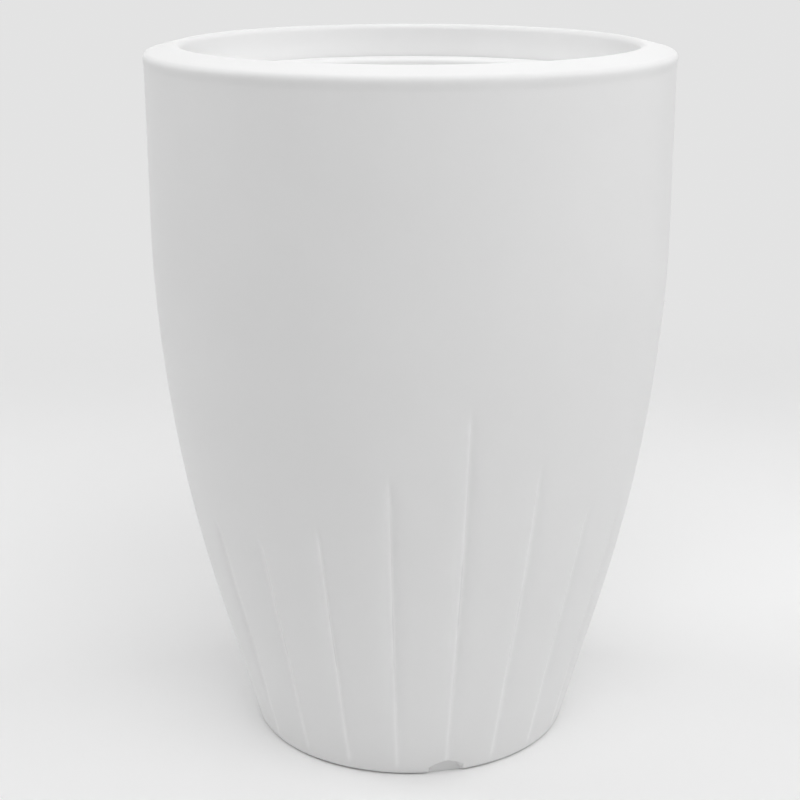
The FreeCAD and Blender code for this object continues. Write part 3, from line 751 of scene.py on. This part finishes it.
def blended(tree, factor, first, second):
    """Colour between two colours or sockets. Counted from 0, the mix node's colours are its inputs 6 and 7
    and its output 2."""
    return add_node(tree, "ShaderNodeMix", {0: factor, 6: first, 7: second}, data_type="RGBA").outputs[2]


def own_place(tree):
    """Place of a point in the piece's own coordinates."""
    return add_node(tree, "ShaderNodeTexCoord").outputs["Object"]


def clouds(tree, scale, detail):
    """Noise in the piece's own place, from 0 to 1."""
    inputs = {"Vector": own_place(tree), "Scale": scale, "Detail": detail, "Roughness": CLOUD_ROUGHNESS}
    return add_node(tree, "ShaderNodeTexNoise", inputs).outputs["Fac"]


def new_group(name, inputs, outputs):
    """Empty node group with number sockets."""
    tree = bpy.data.node_groups.new(name, "ShaderNodeTree")
    for label in inputs:
        tree.interface.new_socket(label, in_out="INPUT", socket_type="NodeSocketFloat")
    for label in outputs:
        tree.interface.new_socket(label, in_out="OUTPUT", socket_type="NodeSocketFloat")
    enter = tree.nodes.new("NodeGroupInput").outputs
    leave = tree.nodes.new("NodeGroupOutput").inputs
    return tree, enter, leave


def moulded_skin_group():
    """Skin that a mould leaves: fine grain on slow waves, as a height in metres, and a slow mottle."""
    labels = ["Grain Scale", "Grain Height", "Wave Scale", "Wave Height"]
    tree, enter, leave = new_group("moulded_skin", labels, ["Height", "Mottle"])
    grain = maths(tree, "MULTIPLY", clouds(tree, enter["Grain Scale"], 2), enter["Grain Height"])
    wave = maths(tree, "MULTIPLY", clouds(tree, enter["Wave Scale"], 1), enter["Wave Height"])
    tree.links.new(maths(tree, "ADD", grain, wave), leave["Height"])
    mottle = remapped(tree, clouds(tree, MOTTLE_SCALE, 3), 0.3, 0.7)
    tree.links.new(mottle, leave["Mottle"])
    return tree


def settled_dust_group():
    """Dust where a mask lets it settle, broken up by clouds of two sizes."""
    tree, enter, leave = new_group("settled_dust", ["Where", "Amount"], ["Dust"])
    patches = remapped(tree, clouds(tree, DUST_PATCH_SCALE, 4), 0.35, 0.75, 0.2, 1)
    specks = remapped(tree, clouds(tree, DUST_SPECK_SCALE, 3), 0.4, 0.8, 0.4, 1)
    broken = maths(tree, "MULTIPLY", patches, specks)
    settled = maths(tree, "MULTIPLY", enter["Where"], enter["Amount"])
    tree.links.new(maths(tree, "MULTIPLY", settled, broken), leave["Dust"])
    return tree


def edge_rub_group():
    """Rub along edges, where a mask marks them, in short streaks."""
    tree, enter, leave = new_group("edge_rub", ["Edge", "Amount"], ["Rub"])
    streaks = remapped(tree, clouds(tree, RUB_STREAK_SCALE, 5), 0.42, 0.68)
    rubbed = maths(tree, "MULTIPLY", enter["Edge"], enter["Amount"])
    tree.links.new(maths(tree, "MULTIPLY", rubbed, streaks), leave["Rub"])
    return tree


def place_group(tree, group, inputs):
    """A node group placed in a material with its own values; returns its outputs."""
    return add_node(tree, "ShaderNodeGroup", inputs, node_tree=group).outputs


def mask(tree, name):
    """A piece's own mask."""
    return add_node(tree, "ShaderNodeAttribute", attribute_name=name).outputs["Fac"]


def height_mask(tree, whole, gone):
    """1 at the first height, falling to 0 at the second."""
    height = add_node(tree, "ShaderNodeSeparateXYZ", {"Vector": own_place(tree)}).outputs["Z"]
    return remapped(tree, height, whole, gone, 1, 0)


def new_material(name):
    """Material with its node tree and its shader."""
    material = bpy.data.materials.new(name)
    material.use_nodes = True
    tree = material.node_tree
    return material, tree, tree.nodes["Principled BSDF"]


def moulded_plastic(name, colour, roughness, skin, dust, dusty, rub, rubbed=None):
    """Moulded plastic or rubber: its colour with a slow mottle, dust that thins out from one height to
    another, rubbed edges, and the skin of its mould."""
    material, tree, shader = new_material(name)
    skin_labels = ("Grain Scale", "Grain Height", "Wave Scale", "Wave Height")
    skin_out = place_group(tree, GROUPS["skin"], dict(zip(skin_labels, skin)))
    where = height_mask(tree, *dusty)
    dust_out = place_group(tree, GROUPS["dust"], {"Where": where, "Amount": dust})["Dust"]
    edge = height_mask(tree, *rubbed) if rubbed else mask(tree, "edge")
    rub_out = place_group(tree, GROUPS["rub"], {"Edge": edge, "Amount": rub})["Rub"]
    shade = [channel * MOTTLE_SHADE for channel in colour]
    worn = [min(1, channel * RUB_LIGHT) for channel in colour]
    tone = blended(tree, skin_out["Mottle"], (*shade, 1), (*colour, 1))
    tone = blended(tree, dust_out, tone, (*DUST_COLOUR, 1))
    tone = blended(tree, rub_out, tone, (*worn, 1))
    tree.links.new(tone, shader.inputs["Base Color"])
    polish = remapped(tree, skin_out["Mottle"], 0, 1, roughness - POLISH_SPREAD, roughness + POLISH_SPREAD)
    polish = maths(tree, "ADD", polish, maths(tree, "MULTIPLY", dust_out, DUST_ROUGHNESS))
    tree.links.new(polish, shader.inputs["Roughness"])
    bump = add_node(tree, "ShaderNodeBump", {"Height": skin_out["Height"], "Strength": 1, "Distance": 1})
    tree.links.new(bump.outputs["Normal"], shader.inputs["Normal"])
    shader.inputs["IOR"].default_value = PLASTIC_IOR
    shader.inputs["Specular IOR Level"].default_value = PLASTIC_SPECULAR
    return material


def paint_crease_highlight(material):
    """Painted highlight: a paler colour along the mask of the pleats' creases, for the light on their
    walls.
    """
    tree = material.node_tree
    colour = tree.nodes["Principled BSDF"].inputs["Base Color"]
    plain = colour.links[0].from_socket
    streaks = remapped(tree, clouds(tree, HIGHLIGHT_STREAK_SCALE, 2), 0.3, 0.7, 0.75, 1)
    share = maths(tree, "MULTIPLY", mask(tree, "crease"), streaks)
    tree.links.new(blended(tree, share, plain, (*CREASE_HIGHLIGHT_COLOUR, 1)), colour)


def seen_ray(tree):
    """1 for what is seen straight, in gloss or through glass, and 0 for the light that falls on things."""
    path = add_node(tree, "ShaderNodeLightPath").outputs
    seen = maths(tree, "MAXIMUM", path["Is Camera Ray"], path["Is Glossy Ray"])
    return maths(tree, "MAXIMUM", seen, path["Is Transmission Ray"])


def pale_paper():
    """Matt paper of the floor and backdrop, with a faint fibre. Away from the planter it is seen as the
    even background, so the stage has no edge in any view."""
    material, tree, shader = new_material("pale_paper")
    shade = [PAPER_SHADE * channel for channel in PAPER_COLOUR]
    tone = blended(tree, clouds(tree, PAPER_FIBRE_SCALE, 4), (*shade, 1), (*PAPER_COLOUR, 1))
    tree.links.new(tone, shader.inputs["Base Color"])
    shader.inputs["Roughness"].default_value = PAPER_ROUGHNESS
    shader.inputs["Specular IOR Level"].default_value = PAPER_SPECULAR
    away = add_node(tree, "ShaderNodeVectorMath", {0: own_place(tree)}, operation="LENGTH").outputs["Value"]
    fade = remapped(tree, away, FADE_NEAR, FADE_FAR, curve="SMOOTHSTEP")
    share = maths(tree, "MULTIPLY", fade, seen_ray(tree))
    glow = add_node(tree, "ShaderNodeEmission", {"Strength": BACKGROUND_STRENGTH, "Color": WHITE})
    mixed = add_node(tree, "ShaderNodeMixShader", {0: share, 1: shader.outputs[0], 2: glow.outputs[0]})
    tree.links.new(mixed.outputs[0], tree.nodes["Material Output"].inputs["Surface"])
    return material


def add_stage():
    """Floor that sweeps up into a backdrop: a line, a quarter circle and a line, carried along X."""
    turn = SWEEP_RADIUS
    side = joined(
        straight((STAGE_FRONT, 0), (STAGE_BACK - turn, 0), 30),
        arc((STAGE_BACK - turn, turn), turn, -90, 0, 24),
        straight((STAGE_BACK, turn), (STAGE_BACK, STAGE_HEIGHT), 12),
    )
    across = np.linspace(-STAGE_HALF, STAGE_HALF, 31)
    x, y = np.meshgrid(across, side[:, 0])
    z = np.repeat(side[:, 1:] - STAGE_DROP, len(across), axis=1)
    points, faces = surface(np.stack([x, y, z], axis=-1), close_columns=False)
    mesh = bpy.data.meshes.new("floor_sweep")
    mesh.from_pydata(points.tolist(), [], faces.tolist())
    mesh.polygons.foreach_set("use_smooth", np.ones(len(mesh.polygons), bool))
    mesh.materials.append(pale_paper())
    add_object("floor_sweep", mesh)


def add_lamp(name, place, target, size, power):
    """Square soft lamp that looks at a target."""
    light = bpy.data.lights.new(name, "AREA")
    light.shape = "SQUARE"
    light.size = size
    light.energy = power
    lamp = add_object(name, light)
    lamp.location = place
    lamp.rotation_euler = (Vector(target) - Vector(place)).to_track_quat("-Z", "Y").to_euler()


def add_world():
    """Even pale light from all round, which looks paler behind the stage and in gloss than it shines."""
    world = bpy.data.worlds.new("soft_room")
    world.use_nodes = True
    tree = world.node_tree
    strength = remapped(tree, seen_ray(tree), 0, 1, WORLD_STRENGTH, BACKGROUND_STRENGTH)
    background = tree.nodes["Background"]
    background.inputs["Color"].default_value = WHITE
    tree.links.new(strength, background.inputs["Strength"])
    bpy.context.scene.world = world


def add_camera():
    """Camera at the photograph's viewing angle."""
    lens = bpy.data.cameras.new("photo_camera")
    lens.lens = CAMERA_LENS
    lens.sensor_width = CAMERA_SENSOR
    lens.shift_x = CAMERA_SHIFT
    camera = add_object("photo_camera", lens)
    camera.location = (0, -CAMERA_DISTANCE, CAMERA_HEIGHT)
    camera.rotation_euler = (math.pi / 2 - CAMERA_PITCH, 0, 0)
    bpy.context.scene.camera = camera


def add_pieces():
    """The planter's pieces, each with its finish."""
    shell_plastic = moulded_plastic("shell_plastic", **SHELL_FINISH)
    # Painted highlight along the pleats' creases
    paint_crease_highlight(shell_plastic)
    grid, masks = shell_surface()
    points, faces = surface(grid, close_rows=True)
    make_piece("moulded_shell", points, faces, shell_plastic, "shell", "outer_shell", "shell", masks, False)
    liner_plastic = moulded_plastic("liner_plastic", **LINER_FINISH)
    make_piece("liner_bucket", *liner_surface(), liner_plastic, "liner", "planting_liner", "liner")
    handle_plastic = moulded_plastic("handle_plastic", **HANDLE_FINISH)
    for side, name in ((-1, "left"), (1, "right")):
        make_piece(f"pull_handle_{name}", *handle_surface(side), handle_plastic,
                   f"handle_{name}", f"liner_handle_{name}", "handle")
    plug_plastic = moulded_plastic("plug_plastic", **PLUG_FINISH)
    make_piece("drain_plug_body", *plug_surface(), plug_plastic, "plug", "drain_plug", "plug")
    gasket_rubber = moulded_plastic("gasket_rubber", **GASKET_FINISH)
    make_piece("gasket_ring", *gasket_surface(), gasket_rubber, "plug", "plug_gasket", "gasket")


GROUPS = {"skin": moulded_skin_group(), "dust": settled_dust_group(), "rub": edge_rub_group()}
add_pieces()
add_stage()
add_world()
for lamp in LAMPS:
    add_lamp(*lamp)
add_camera()
bpy.context.scene.view_settings.view_transform = "Standard"
